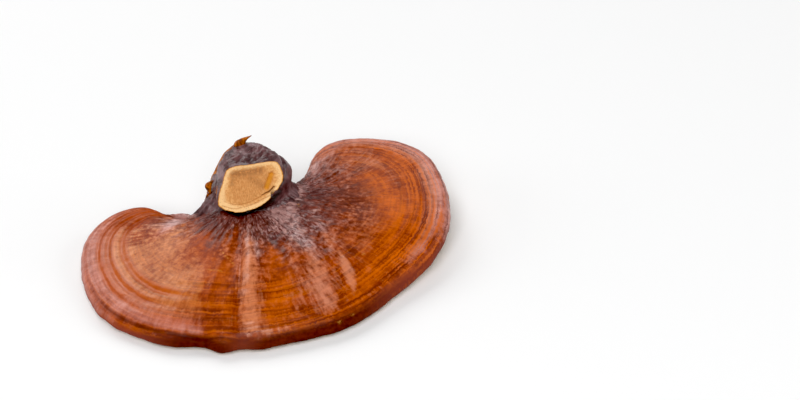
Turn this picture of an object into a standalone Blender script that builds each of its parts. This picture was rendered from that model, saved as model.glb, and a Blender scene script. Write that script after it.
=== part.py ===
"""A dried reishi mushroom, picked whole.

The cap is a kidney-shaped bracket. Its short, cut stem curls up and forward out of the notch at
the back. Lengths are in millimetres until the last step, which turns them into metres.
X runs across the two lobes, -Y is the front rim, and Z is up from the surface it lies on.
"""

import math

import bmesh
import bpy
import numpy as np
from mathutils import Matrix, Vector

MM = 0.001

# The rim, as stations counter-clockwise from the right-hand side, seen from above: x and y, then
# the heights of the rim's upper edge, of its lower edge and of the top half way in from it, and
# last the bearing in degrees at which the growth line that ends there leaves the hub.
RIM = [
    (76.5, 10.0, 14.5, 6.5, 18.0, -12),
    (75.5, 26.5, 16.5, 8.5, 17.0, -7),
    (69.7, 43.0, 18.0, 9.5, 16.3, -3),
    (57.7, 53.2, 18.5, 10.0, 16.3, 0),
    (43.5, 57.0, 18.5, 10.0, 16.8, 2),
    (30.5, 55.5, 18.0, 9.5, 17.3, 4),
    (22.2, 48.5, 17.0, 8.0, 17.7, 6),
    (19.5, 38.0, 16.0, 5.5, 17.5, 11),
    (17.5, 30.0, 16.5, 3.0, 18.0, 23),
    (8.0, 30.5, 19.0, 1.5, 20.0, 58),
    (-7.0, 31.5, 19.5, 1.5, 20.0, 102),
    (-18.5, 25.0, 18.0, 1.5, 19.5, 148),
    (-27.0, 15.7, 13.5, 1.5, 16.5, 186),
    (-33.5, 14.5, 16.8, 2.0, 16.8, 201),
    (-39.5, 18.7, 13.5, 2.5, 15.5, 212),
    (-48.0, 25.2, 13.3, 3.0, 14.3, 221),
    (-60.0, 24.8, 11.0, 2.5, 14.3, 224),
    (-70.0, 14.5, 9.0, 1.5, 14.0, 225),
    (-72.0, -2.0, 7.0, 1.0, 13.8, 227),
    (-68.7, -16.8, 6.0, 0.8, 14.0, 229),
    (-62.0, -30.5, 5.5, 0.8, 14.5, 232),
    (-49.5, -42.0, 5.5, 0.8, 15.3, 236),
    (-34.0, -50.0, 5.5, 0.8, 16.3, 245),
    (-22.0, -51.7, 5.6, 0.8, 16.8, 255),
    (-14.5, -55.3, 5.8, 0.5, 17.0, 261),
    (-5.0, -53.6, 5.6, 0.8, 17.2, 268),
    (10.0, -53.3, 5.5, 0.8, 17.5, 281),
    (34.0, -45.5, 6.0, 0.8, 18.0, 299),
    (53.3, -29.2, 7.5, 1.2, 18.3, 315),
    (67.0, -15.0, 10.0, 3.0, 18.6, 328),
    (74.0, -2.0, 12.5, 5.0, 18.5, 339),
]
RIM_ROUNDING = 3.8
RIM_READ_STEPS = 40

# The hub is where the growth lines start. Each line leaves it straight and turns towards its end
# on the rim near an oval, the knee, or nearer to the hub where the rim is close.
HUB_CENTRE = (-4.0, 17.0)
KNEE_LONG_RADIUS = 34.0
KNEE_SHORT_RADIUS = 21.0
KNEE_TURN = math.radians(19)
KNEE_SHARE_MOST = 0.8
KNEE_SHARPNESS = 6

# The cap's top is level on the seat, where the stem stands. Past it the top first flares to its
# half-way height and then falls to the rim's, each given by its share of the way out.
SEAT_HEIGHT = 20.0
SEAT_RADIUS = 14.0
SEAT_SHARE_MOST = 0.72
FLARE_END = 0.6
FALL_START = 0.3
FALL_POWER = 1.9
RELIEF_FULL = 0.15
PORE_FLAT_SHARE = 0.52

# Growth zones: where along each growth line a furrow lies, from 0 at the hub to 1 at the rim,
# and how deep and wide it is.
LEFT_ZONES = [(0.745, 0.55, 1.6), (0.840, 0.60, 1.5), (0.905, 0.50, 1.3)]
RIGHT_ZONES = [(0.560, 0.40, 2.2), (0.790, 0.35, 1.6), (0.865, 0.35, 1.4), (0.925, 0.30, 1.2)]
FRONT_ZONES = [(0.700, 0.30, 2.0), (0.830, 0.35, 1.8), (0.942, 0.80, 1.5)]

# The bearing in degrees at the middle of each side's zones, and how far to either side they run
# at full depth and at all. On growth lines shorter than these lengths they fade and are absent.
ZONE_SIDES = [(LEFT_ZONES, 221, 13, 26), (RIGHT_ZONES, 0, 27, 52), (FRONT_ZONES, 273, 29, 50)]
ZONES_ABSENT = 24.0
ZONES_FULL = 52.0

# Folds that run out from the hub: bearing in degrees, height, width in degrees, and where along
# the growth line the fold is highest. They end before the rim.
FOLDS = [
    (262, -1.2, 4.5, 0.45),
    (272, 1.0, 5.0, 0.55),
    (300, 0.9, 9.0, 0.45),
    (231, 0.8, 7.0, 0.40),
    (338, 1.2, 12.0, 0.35),
    (204, 0.9, 8.0, 0.35),
]
FOLD_REACH = 0.28
FOLDS_FADE = 0.85

# The rings of points that the cap is drawn through.
SPOKES = 96
TOP_SHARES = [0.06, 0.13, 0.20, 0.26, 0.32, 0.38, 0.44, 0.50, 0.56, 0.62, 0.67, 0.70, 0.722, 0.74]
TOP_SHARES += [0.76, 0.785, 0.81, 0.83, 0.85, 0.87, 0.89, 0.91, 0.93]
EDGE_ANGLES = [25, 48, 70, 90]
UNDER_SHARES = [0.93, 0.85, 0.75, 0.62, 0.50, 0.25]

# The stem curls up out of the seat and forward. Its sections turn about a line on their near side.
# Each row is one section: its tilt in degrees from the seat, the y and z of its turning line,
# how far it reaches left and right, and how far its near and far edges are from the turning line.
STEM_SECTIONS = [
    (0, 6.5, 20.3, -20.0, 13.6, 1.2, 22.6),
    (15, 5.8, 20.8, -19.3, 12.6, 1.4, 25.0),
    (32, 5.0, 21.3, -18.3, 12.3, 0.8, 28.0),
    (48, 4.6, 21.9, -17.0, 10.8, 0.3, 27.3),
    (60, 4.4, 22.3, -15.8, 11.3, 0.0, 23.8),
    (68, 4.4, 22.5, -15.0, 11.3, 0.0, 20.0),
]
STEM_ROUND_STEPS = 44
STEM_LONG_STEPS = 16

# The outline of the saw cut, counter-clockwise from its right-hand side: x, and height up the cut.
# The stem's sections pass from ovals to this outline along the stem.
CUT_OUTLINE = [
    (11.3, 13.0),
    (10.6, 17.6),
    (8.4, 20.0),
    (2.0, 19.6),
    (-5.0, 19.1),
    (-10.2, 17.8),
    (-12.6, 13.0),
    (-14.8, 6.6),
    (-14.4, 2.3),
    (-9.0, 0.0),
    (-3.0, 0.3),
    (3.4, 3.1),
    (8.6, 8.2),
]
CUT_SHAPE_START = 0.3

# Lumps on the stem: place round the section in degrees, share of the way along, height, and width
# round in degrees and along as a share. They end before the cut.
STEM_LUMPS = [
    (12, 0.38, 1.8, 28, 0.18),
    (50, 0.60, -1.0, 18, 0.16),
    (75, 0.66, 0.8, 22, 0.14),
    (108, 0.45, 0.8, 24, 0.16),
    (150, 0.75, 0.7, 20, 0.20),
    (188, 0.30, 1.0, 22, 0.22),
    (215, 0.12, 0.8, 30, 0.16),
    (345, 0.14, 0.8, 24, 0.16),
]
LUMPS_FADE = 0.85
STEM_MEAN_RADIUS = 14.0

# The flake of skin torn up from the stem's top: places along it, each with a width and thickness.
FLAKE = [
    (Vector((-5.6, 22.0, 38.0)), 7.0, 2.4),
    (Vector((-4.6, 21.8, 42.6)), 4.6, 1.5),
    (Vector((-2.8, 21.8, 44.8)), 3.0, 1.0),
    (Vector((-0.2, 21.6, 47.2)), 0.7, 0.5),
]
FLAKE_ACROSS = Vector((0.78, 0.25, -0.57))

SHARP_ANGLE = math.radians(50)


def smooth_step(value, start, end):
    """0 before start, 1 after end, and an even curve between them."""
    share = np.clip((value - start) / (end - start), 0.0, 1.0)
    return share * share * (3.0 - 2.0 * share)


def between(start, end, run, next_run, share):
    """A curve from start to end that leaves and arrives at the given slopes."""
    rise = end - start
    bend = 3 * rise - 2 * run - next_run
    twist = run + next_run - 2 * rise
    return start + share * (run + share * (bend + share * twist))


def closed_curve(rows, steps):
    """Each column of rows as a smooth closed curve, read at steps places in each gap."""
    count = len(rows)
    follows = np.roll(np.eye(count), 1, axis=1)
    weights = 4 * np.eye(count) + follows + follows.T
    slope = np.linalg.solve(weights, 3 * (follows - follows.T) @ rows)
    share = (np.arange(steps) / steps)[:, None]
    pieces = []
    for place in range(count):
        following = (place + 1) % count
        pieces.append(between(rows[place], rows[following], slope[place], slope[following], share))
    return np.concatenate(pieces)


def open_curve(rows, count):
    """Each column of rows as a smooth open curve, read at count even steps."""
    slope = np.gradient(rows, axis=0)
    at = np.linspace(0, len(rows) - 1, count)
    start = np.minimum(at.astype(int), len(rows) - 2)
    share = (at - start)[:, None]
    return between(rows[start], rows[start + 1], slope[start], slope[start + 1], share)


def bearing_gap(bearing, middle):
    """How far a bearing in radians is from middle, in degrees, the short way round."""
    return np.abs((np.degrees(bearing) - middle + 180) % 360 - 180)


def around_the_rim(spokes):
    """The rim's columns at even steps along its length, with the bearing in radians."""
    rows = np.array(RIM, float)
    bearing = rows[:, 5]
    bearing -= 360.0 * np.arange(len(rows)) / len(rows)
    curve = closed_curve(rows, RIM_READ_STEPS)
    curve = np.vstack([curve, curve[:1]])
    curve[:, 5] += np.linspace(0.0, 360.0, len(curve))
    steps_long = np.hypot(*np.diff(curve[:, :2], axis=0).T)
    length = np.concatenate([[0], np.cumsum(steps_long)])
    at = length[-1] * np.arange(spokes) / spokes
    rim = np.stack([np.interp(at, length, column) for column in curve.T], axis=1)
    rim[:, 5] = np.radians(rim[:, 5])
    return rim


class GrowthLines:
    """The lines that the cap grew along, one from the hub's centre to each place on the rim."""

    def __init__(self, rim, steps=120):
        _, _, self.upper, self.lower, self.half_way, self.bearing = rim.T
        centre = np.array(HUB_CENTRE)
        beyond = rim[:, :2] - centre
        heading = np.column_stack([np.cos(self.bearing), np.sin(self.bearing)])
        knee = self.knee_distance(np.linalg.norm(beyond, axis=1))[:, None] * heading
        along = np.linspace(0.0, 1.0, steps)[None, :, None]
        pulled = 2 * along * (1 - along) * knee[:, None, :]
        self.places = centre + pulled + along**2 * beyond[:, None, :]
        steps_long = np.linalg.norm(np.diff(self.places, axis=1), axis=2)
        starts = np.zeros((len(rim), 1))
        self.lengths = np.concatenate([starts, np.cumsum(steps_long, axis=1)], axis=1)
        self.reach = self.lengths[:, -1]

    def knee_distance(self, straight):
        """How far from the hub each line turns: the oval's radius, or less where the rim is close."""
        turned = self.bearing - KNEE_TURN
        oval = 1 / np.hypot(np.cos(turned) / KNEE_LONG_RADIUS, np.sin(turned) / KNEE_SHORT_RADIUS)
        nearer = KNEE_SHARE_MOST * straight
        return (oval**-KNEE_SHARPNESS + nearer**-KNEE_SHARPNESS) ** (-1 / KNEE_SHARPNESS)

    def read(self, share):
        """The x and y on each line at a share of that line's length."""
        found = []
        for line, length, at in zip(self.places, self.lengths, share * self.reach):
            found.append([np.interp(at, length, line[:, axis]) for axis in (0, 1)])
        return np.array(found)

    def furrows(self, share):
        """The depth of the furrows between growth zones."""
        depth = np.zeros_like(share)
        for zones, middle, full, none in ZONE_SIDES:
            strength = 1.0 - smooth_step(bearing_gap(self.bearing, middle), full, none)
            for place, deep, wide in zones:
                depth += strength * deep * np.exp(-(((share - place) * self.reach / wide) ** 2))
        return depth * smooth_step(self.reach, ZONES_ABSENT, ZONES_FULL)

    def folds(self, share):
        """The height of the folds that run out from the hub."""
        height = np.zeros_like(share)
        for middle, tall, wide, place in FOLDS:
            side = np.exp(-((bearing_gap(self.bearing, middle) / wide) ** 2))
            height += tall * side * np.exp(-(((share - place) / FOLD_REACH) ** 2))
        return height * (1 - smooth_step(share, FOLDS_FADE, 1.0))

    def top(self, share):
        """The upper surface: level at the seat, flaring out, then falling to the rim."""
        seat = np.minimum(SEAT_RADIUS / self.reach, SEAT_SHARE_MOST)
        out = np.clip((share - seat) / (1.0 - seat), 0.0, 1.0)
        flare = 1.0 - (1.0 - np.minimum(out / FLARE_END, 1.0)) ** 2
        fall = np.clip((out - FALL_START) / (1.0 - FALL_START), 0.0, 1.0) ** FALL_POWER
        level = SEAT_HEIGHT + (self.half_way - SEAT_HEIGHT) * flare
        level += (self.upper - self.half_way) * fall
        return level + smooth_step(out, 0.0, RELIEF_FULL) * (self.folds(share) - self.furrows(share))

    def under(self, share):
        """The pore surface: flat in the middle, lifting a little towards the rim."""
        return self.lower * smooth_step(share, PORE_FLAT_SHARE, 1.0)


def cap_rings(lines):
    """The cap's rings from the hub over the top, round the rim and back under, as xyz arrays."""
    inner = 1.0 - RIM_ROUNDING / lines.reach
    middle = (lines.upper + lines.lower) / 2
    rings = []
    for share in TOP_SHARES:
        place = inner * share / TOP_SHARES[-1]
        rings.append(np.column_stack([lines.read(place), lines.top(place)]))
    for surface, angles in ((lines.top, EDGE_ANGLES), (lines.under, EDGE_ANGLES[-2::-1])):
        for angle in angles:
            turned = math.radians(angle)
            place = 1.0 - (1.0 - inner) * (1.0 - math.sin(turned))
            height = middle + (surface(place) - middle) * math.cos(turned)
            rings.append(np.column_stack([lines.read(place), height]))
    for share in UNDER_SHARES:
        place = inner * share / UNDER_SHARES[0]
        rings.append(np.column_stack([lines.read(place), lines.under(place)]))
    return rings


def make_cap():
    """A sphere with its poles at the hub, whose rows of latitude are drawn out to the rings."""
    rings = cap_rings(GrowthLines(around_the_rim(SPOKES)))
    rows = len(rings) + 1
    shell = bmesh.new()
    bmesh.ops.create_uvsphere(shell, u_segments=SPOKES, v_segments=rows, radius=1.0)
    for vert in shell.verts:
        row = round(math.acos(max(-1.0, min(1.0, vert.co.z))) / math.pi * rows)
        if row in (0, rows):
            vert.co = (*HUB_CENTRE, SEAT_HEIGHT if row == 0 else 0.0)
        else:
            spoke = round(math.atan2(vert.co.y, vert.co.x) / (2 * math.pi) * SPOKES) % SPOKES
            vert.co = rings[row - 1][spoke]
    return shell


def cut_shape(around):
    """The saw cut's outline, brought to a width and height of -1 to 1, at the bearings around it."""
    outline = closed_curve(np.array(CUT_OUTLINE), RIM_READ_STEPS)
    low, high = outline.min(axis=0), outline.max(axis=0)
    shape = (2 * outline - low - high) / (high - low)
    turn = np.arctan2(shape[:, 1], shape[:, 0])
    columns = [np.interp(around, turn, column, period=2 * math.pi) for column in shape.T]
    return np.stack(columns, axis=1)


def stem_swell(around, along):
    """How much the stem's lumps widen one section, as a share of its radius."""
    swell = np.zeros(len(around))
    for middle, place, tall, wide, long in STEM_LUMPS:
        side = np.exp(-((bearing_gap(around, middle) / wide) ** 2))
        swell += tall / STEM_MEAN_RADIUS * side * math.exp(-(((along - place) / long) ** 2))
    return swell * (1 - smooth_step(along, LUMPS_FADE, 1.0))


def stem_sections():
    """The stem's sections from the seat to the saw cut, as xyz arrays."""
    around = 2 * math.pi * np.arange(STEM_ROUND_STEPS) / STEM_ROUND_STEPS
    oval = np.stack([np.cos(around), np.sin(around)], axis=1)
    to_cut = cut_shape(around) - oval
    rows = open_curve(np.array(STEM_SECTIONS, float), STEM_LONG_STEPS)
    sections = []
    for along, row in zip(np.linspace(0, 1, len(rows)), rows):
        tilt, line_y, line_z, left, right, near, far = row
        shape = oval + to_cut * smooth_step(along, CUT_SHAPE_START, 1.0)
        shape *= (1 + stem_swell(around, along))[:, None]
        across = (left + right + shape[:, 0] * (right - left)) / 2
        up = (near + far + shape[:, 1] * (far - near)) / 2
        turned = math.radians(tilt)
        back = line_y + up * math.cos(turned)
        height = line_z + up * math.sin(turned)
        sections.append(np.column_stack([across, back, height]))
    return sections


def skin_over(rings):
    """A closed mesh along a row of rings with as many points each, flat at both ends."""
    mesh = bmesh.new()
    rows = [[mesh.verts.new(point) for point in ring] for ring in rings]
    for lower, upper in zip(rows, rows[1:]):
        for place in range(len(lower)):
            following = (place + 1) % len(lower)
            mesh.faces.new((lower[place], lower[following], upper[following], upper[place]))
    mesh.faces.new(rows[0][::-1])
    mesh.faces.new(rows[-1])
    bmesh.ops.recalc_face_normals(mesh, faces=mesh.faces)
    return mesh


def make_stem():
    """A curled knob, flat below where it sits on the cap and across the front where it was cut."""
    return skin_over(stem_sections())


def make_flake():
    """A bent, tapering strip that stands up from the stem's top."""
    run = (FLAKE[-1][0] - FLAKE[0][0]).normalized()
    across = FLAKE_ACROSS.normalized()
    through = run.cross(across).normalized()
    rings = []
    for centre, width, thickness in FLAKE:
        side = across * width / 2
        face = through * thickness / 2
        corners = (-side - face, side - face, side + face, face - side)
        rings.append([centre + corner for corner in corners])
    return skin_over(rings)


def material(name, colour, roughness):
    made = bpy.data.materials.new(name)
    made.use_nodes = True
    shader = made.node_tree.nodes["Principled BSDF"]
    shader.inputs["Base Color"].default_value = (*colour, 1.0)
    shader.inputs["Roughness"].default_value = roughness
    shader.inputs["Metallic"].default_value = 0.0
    return made


def place_piece(name, mesh, centre):
    """The finished mesh as an object in metres, with centre brought to the origin."""
    shift = Matrix.Scale(MM, 4) @ Matrix.Translation(-centre)
    bmesh.ops.transform(mesh, matrix=shift, verts=mesh.verts)
    data = bpy.data.meshes.new(name)
    mesh.to_mesh(data)
    mesh.free()
    data.shade_smooth()
    data.set_sharp_from_angle(angle=SHARP_ANGLE)
    piece = bpy.data.objects.new(name, data)
    bpy.context.scene.collection.objects.link(piece)
    return piece


def main():
    for old in list(bpy.data.objects):
        bpy.data.objects.remove(old)
    meshes = {"cap": make_cap(), "stem": make_stem(), "flake": make_flake()}
    corners = np.array([vert.co for mesh in meshes.values() for vert in mesh.verts])
    low, high = corners.min(axis=0), corners.max(axis=0)
    centre = Vector(((low[0] + high[0]) / 2, (low[1] + high[1]) / 2, low[2]))
    cap, stem, flake = (place_piece(name, mesh, centre) for name, mesh in meshes.items())
    cap.data.materials.append(material("lacquered_cap", (0.45, 0.13, 0.03), 0.35))
    stem.data.materials.append(material("dark_stem_skin", (0.09, 0.045, 0.045), 0.45))
    flake.hide_render = True
    flake.display_type = "WIRE"
    joined = stem.modifiers.new("flake", "BOOLEAN")
    joined.operation = "UNION"
    joined.solver = "EXACT"
    joined.object = flake
    print("size in mm:", np.round(high - low, 2), "centre:", [round(value, 2) for value in centre])


main()
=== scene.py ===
# %% [markdown]
# # A dried reishi mushroom
#
# Reishi is a bracket fungus. Its cap grows outwards from the stem in thin rings, and dries to a
# hard kidney-shaped bracket with a crust that shines like lacquer. This one lies on its pore side.
# Its stem is short and thick. It curls up out of the notch between the two lobes and was sawn off.
#
# The packed model has the right size and the main shapes. It could be shown as it is with better
# materials, but its faces are too large to hold growth rings and wrinkles. So each of its two solids
# is replaced by a finer one, drawn from the same few numbers and finished with its own materials.

# %% The packed model
import math

import bmesh
import bpy
import numpy as np
from mathutils import Euler, Matrix, Vector
from mathutils.bvhtree import BVHTree


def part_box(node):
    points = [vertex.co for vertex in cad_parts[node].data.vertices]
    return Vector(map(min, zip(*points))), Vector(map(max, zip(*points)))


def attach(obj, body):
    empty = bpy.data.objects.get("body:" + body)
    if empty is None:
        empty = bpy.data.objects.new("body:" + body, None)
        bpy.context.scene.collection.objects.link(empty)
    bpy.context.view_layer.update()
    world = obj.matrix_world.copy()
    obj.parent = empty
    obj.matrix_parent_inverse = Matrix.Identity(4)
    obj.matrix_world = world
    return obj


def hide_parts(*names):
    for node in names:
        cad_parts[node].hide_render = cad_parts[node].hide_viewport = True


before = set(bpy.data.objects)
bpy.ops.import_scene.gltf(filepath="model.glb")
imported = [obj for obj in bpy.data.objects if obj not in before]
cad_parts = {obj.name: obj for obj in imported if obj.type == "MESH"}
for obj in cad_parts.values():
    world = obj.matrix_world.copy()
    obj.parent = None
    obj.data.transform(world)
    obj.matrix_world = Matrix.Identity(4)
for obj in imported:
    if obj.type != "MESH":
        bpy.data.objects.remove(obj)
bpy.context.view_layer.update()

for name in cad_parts:
    low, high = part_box(name)
    print(name, "from", [round(v * 1000, 1) for v in low], "to", [round(v * 1000, 1) for v in high], "mm")

# %% [markdown]
# ## The camera
#
# The photo was taken with a long lens, so lines hardly run together, from 38 degrees above the
# table, and the camera leant a little to one side. Making the camera first lets every later step be
# judged in the photo's own frame. Looking straight down is no turn at all for a Blender camera, so
# 38 degrees above the horizon is a turn of 52 degrees about X.

# %% The camera
CAMERA_PLACE = (0.05439, -0.61818, 0.50938)
CAMERA_ABOVE = 38
CAMERA_LEAN = -3.5

lens = bpy.data.cameras.new("camera")
lens.lens = 90
camera = bpy.data.objects.new("camera", lens)
aim = Euler((math.radians(90 - CAMERA_ABOVE), 0, 0)).to_matrix()
lean = Matrix.Rotation(math.radians(CAMERA_LEAN), 3, "Z")
camera.matrix_world = Matrix.Translation(CAMERA_PLACE) @ (aim @ lean).to_4x4()
bpy.context.scene.collection.objects.link(camera)
bpy.context.scene.camera = camera
print("the camera sees", round(math.degrees(lens.angle), 1), "degrees across")

# %% [markdown]
# ## The rim
#
# A cap like this has no symmetry, so its outline is drawn through listed stations, as a boat's
# lines are. Each station also says how high the rim is there, and the bearing at which the growth
# line that ends there leaves the hub. All of it is in millimetres, as the packed model's source is.

# %% The rim's stations: x, y, upper edge, lower edge, top half way in, bearing of the growth line
RIM = np.array([
    (76.5, 10, 14.5, 6.5, 18, -12),
    (75.5, 26.5, 16.5, 8.5, 17, -7),
    (69.7, 43, 18, 9.5, 16.3, -3),
    (57.7, 53.2, 18.5, 10, 16.3, 0),
    (43.5, 57, 18.5, 10, 16.8, 2),
    (30.5, 55.5, 18, 9.5, 17.3, 4),
    (22.2, 48.5, 17, 8, 17.7, 6),
    (19.5, 38, 16, 5.5, 17.5, 11),
    (17.5, 30, 16.5, 3, 18, 23),
    (8, 30.5, 19, 1.5, 20, 58),
    (-7, 31.5, 19.5, 1.5, 20, 102),
    (-18.5, 25, 18, 1.5, 19.5, 148),
    (-27, 15.7, 13.5, 1.5, 16.5, 186),
    (-33.5, 14.5, 16.8, 2, 16.8, 201),
    (-39.5, 18.7, 13.5, 2.5, 15.5, 212),
    (-48, 25.2, 13.3, 3, 14.3, 221),
    (-60, 24.8, 11, 2.5, 14.3, 224),
    (-70, 14.5, 9, 1.5, 14, 225),
    (-72, -2, 7, 1, 13.8, 227),
    (-68.7, -16.8, 6, 0.8, 14, 229),
    (-62, -30.5, 5.5, 0.8, 14.5, 232),
    (-49.5, -42, 5.5, 0.8, 15.3, 236),
    (-34, -50, 5.5, 0.8, 16.3, 245),
    (-22, -51.7, 5.6, 0.8, 16.8, 255),
    (-14.5, -55.3, 5.8, 0.5, 17, 261),
    (-7.5, -54.2, 5.6, 0.8, 17.2, 266),
    (-0.5, -54.8, 5.6, 0.8, 17.3, 273),
    (9.8, -52.9, 5.5, 0.8, 17.5, 281),
    (34, -45.5, 6, 0.8, 18, 299),
    (53.3, -29.2, 7.5, 1.2, 18.3, 315),
    (67, -15, 10, 3, 18.6, 328),
    (74, -2, 12.5, 5, 18.5, 339),
], float)
BEARING = 5
CURVE_STEPS = 40
SPOKES = 480


def between(start, end, run, next_run, share):
    """A curve from start to end that leaves and arrives at the given slopes."""
    rise = end - start
    bend = 3 * rise - 2 * run - next_run
    twist = run + next_run - 2 * rise
    return start + share * (run + share * (bend + share * twist))


def closed_curve(rows):
    """Each column of rows as a smooth closed curve, with even steps in each gap."""
    count = len(rows)
    follows = np.roll(np.eye(count), 1, axis=1)
    slope = np.linalg.solve(4 * np.eye(count) + follows + follows.T, 3 * (follows - follows.T) @ rows)
    share = (np.arange(CURVE_STEPS) / CURVE_STEPS)[:, None]
    after = np.roll(np.arange(count), -1)
    return np.concatenate([between(rows[a], rows[b], slope[a], slope[b], share) for a, b in enumerate(after)])


def around_the_rim():
    """The rim's columns at even steps along its length, with the bearing in radians."""
    rows = RIM.copy()
    rows[:, BEARING] -= 360 * np.arange(len(rows)) / len(rows)
    curve = closed_curve(rows)
    curve = np.vstack([curve, curve[:1]])
    curve[:, BEARING] += np.linspace(0, 360, len(curve))
    length = np.concatenate([[0], np.cumsum(np.hypot(*np.diff(curve[:, :2], axis=0).T))])
    at = length[-1] * np.arange(SPOKES) / SPOKES
    rim = np.stack([np.interp(at, length, column) for column in curve.T], axis=1)
    rim[:, BEARING] = np.radians(rim[:, BEARING])
    return rim


rim = around_the_rim()
print("rim", round(float(np.hypot(*np.diff(rim[:, :2], axis=0).T).sum())), "mm round")

# %% [markdown]
# ## The growth lines
#
# Every fibre and ring of the crust follows the way the cap grew. The lines leave the hub under the
# stem, turn near an oval round it, and run on to the rim, so they fan out into both lobes. A cap made
# with them as its mesh lines gets both patterns for nothing: rings are rows of equal share along the
# lines, and fibres are the lines themselves.

# %% The growth lines
HUB_CENTRE = np.array([-4, 17])
KNEE_LONG_RADIUS = 34
KNEE_SHORT_RADIUS = 21
KNEE_TURN = math.radians(19)
KNEE_SHARE_MOST = 0.8
KNEE_SHARPNESS = 6
LINE_STEPS = 160


class GrowthLines:
    """The lines that the cap grew along, one from the hub to each place on the rim."""

    def __init__(self, rim):
        straight = rim[:, :2] - HUB_CENTRE
        self.upper, self.lower, self.half_way, self.bearing = (column[:, None] for column in rim.T[2:])
        turned = self.bearing - KNEE_TURN
        oval = 1 / np.hypot(np.cos(turned) / KNEE_LONG_RADIUS, np.sin(turned) / KNEE_SHORT_RADIUS)
        nearer = KNEE_SHARE_MOST * np.linalg.norm(straight, axis=1)[:, None]
        distance = (oval**-KNEE_SHARPNESS + nearer**-KNEE_SHARPNESS) ** (-1 / KNEE_SHARPNESS)
        knee = distance * np.hstack([np.cos(self.bearing), np.sin(self.bearing)])
        along = np.linspace(0, 1, LINE_STEPS)[None, :, None]
        pulled = 2 * along * (1 - along) * knee[:, None, :]
        self.places = HUB_CENTRE + pulled + along**2 * straight[:, None, :]
        step = np.linalg.norm(np.diff(self.places, axis=1), axis=2)
        self.lengths = np.hstack([np.zeros((len(rim), 1)), np.cumsum(step, axis=1)])
        self.reach = self.lengths[:, -1:]

    def read(self, share):
        """The x and y on every line at each share of its length."""
        found = np.empty(share.shape + (2,))
        for line, at in enumerate(share * self.reach):
            for axis in (0, 1):
                found[line, :, axis] = np.interp(at, self.lengths[line], self.places[line, :, axis])
        return found

    def off(self, middle):
        """How far each line's bearing is from middle in degrees, the short way round."""
        return np.abs((np.degrees(self.bearing) - middle + 180) % 360 - 180)


def span(values, parts=1):
    """The lowest and highest of many numbers or places, as words."""
    values = values.reshape(-1, parts)
    return f"{values.min(axis=0).round(1)} to {values.max(axis=0).round(1)} mm"


lines = GrowthLines(rim)
print("growth lines", span(lines.reach))

# %% [markdown]
# ## The cap's plain form
#
# The top is level where the stem stands, flares out, and falls to a rounded rim. The pore side is
# flat, and lifts a little towards the rim. Here the form is only worked out, as rings of points from
# the hub over the rim to the middle of the pore side. A grid of faces is drawn out to them later, so
# no face has to be listed by hand.

# %% Curves that fade
def smooth_step(value, start, end):
    """0 before start, 1 after end, and an even curve between them."""
    share = np.clip((value - start) / (end - start), 0, 1)
    return share * share * (3 - 2 * share)


def fade(value, full, none):
    """1 up to full, 0 from none on, and an even curve between them."""
    return 1 - smooth_step(value, full, none)


def bell(value, middle, width):
    """1 at the middle, and fading away over the width on both sides."""
    return np.exp(-(((value - middle) / width) ** 2))


print("half way down a fade", fade(0.5, 0, 1), "and one width off a bell's middle", round(bell(1, 0, 1), 2))

# %% The heights of the top and of the pore side
SEAT_HEIGHT = 20
SEAT_RADIUS = 14
SEAT_SHARE_MOST = 0.72
FLARE_END = 0.6
FALL_START = 0.3
FALL_POWER = 1.9
PORE_FLAT_SHARE = 0.52


def top_height(share):
    """The upper surface, before any relief."""
    seat = np.minimum(SEAT_RADIUS / lines.reach, SEAT_SHARE_MOST)
    out = np.clip((share - seat) / (1 - seat), 0, 1)
    flare = 1 - (1 - np.minimum(out / FLARE_END, 1)) ** 2
    fall = np.clip((out - FALL_START) / (1 - FALL_START), 0, 1) ** FALL_POWER
    return SEAT_HEIGHT + (lines.half_way - SEAT_HEIGHT) * flare + (lines.upper - lines.half_way) * fall


def under_height(share):
    """The pore surface."""
    return lines.lower * smooth_step(share, PORE_FLAT_SHARE, 1)


print("the top ends", span(top_height(np.ones((SPOKES, 1)))), "high")

# %% The cap's rings
RIM_ROUNDING = 3.8
TOP_ROWS = 128
EDGE_ROWS = 11
UNDER_ROWS = 34
SIDE_ANGLES = (1.2, 2.2)

inner = 1 - RIM_ROUNDING / lines.reach
middle = (lines.upper + lines.lower) / 2
steps = np.arange(1, TOP_ROWS + 1)[None, :] / TOP_ROWS
top_share = inner * (1.5 * steps - 0.5 * steps**2)
turned = np.radians(90) * np.arange(1, EDGE_ROWS + 1)[None, :] / EDGE_ROWS
edge_share = 1 - (1 - inner) * (1 - np.sin(turned))
upper_edge = middle + (top_height(edge_share) - middle) * np.cos(turned)
back_turned, back_share = turned[:, -2::-1], edge_share[:, -2::-1]
lower_edge = middle + (under_height(back_share) - middle) * np.cos(back_turned)
under_share = inner * (1 - np.arange(0, UNDER_ROWS)[None, :] / UNDER_ROWS)

share = np.hstack([top_share, edge_share, back_share, under_share])
height = np.hstack([top_height(top_share), upper_edge, lower_edge, under_height(under_share)])
cap_form = np.dstack([lines.read(share), height])
cap_x, cap_y = cap_form[:, :, 0], cap_form[:, :, 1]
angle_round = np.hstack([0 * steps, turned, math.pi - back_turned, np.full((1, UNDER_ROWS), math.pi)])
on_top = fade(angle_round, *SIDE_ANGLES)
print(share.shape[1], "rings of", SPOKES, "points")

# %% [markdown]
# ## Growth rings, folds and wrinkles
#
# A real crust is never smooth. It has a furrow between every two seasons' growth, folds that run out
# from the hub, fine wrinkles where the stem's skin runs out onto the cap, and low lumps that break
# up its reflections. Sculpting could make them, but each follows the growth lines, so each is a
# height worked out from a place's share and bearing, and laid on along the surface's normal.

# %% Uneven values, the same in every run
CHANCE_SIZE = 64
CHANCE = np.random.default_rng(7).uniform(-1, 1, (CHANCE_SIZE,) * 3)
SMOOTHED_SPOKES = 45
RING_WANDER = 0.006


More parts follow.
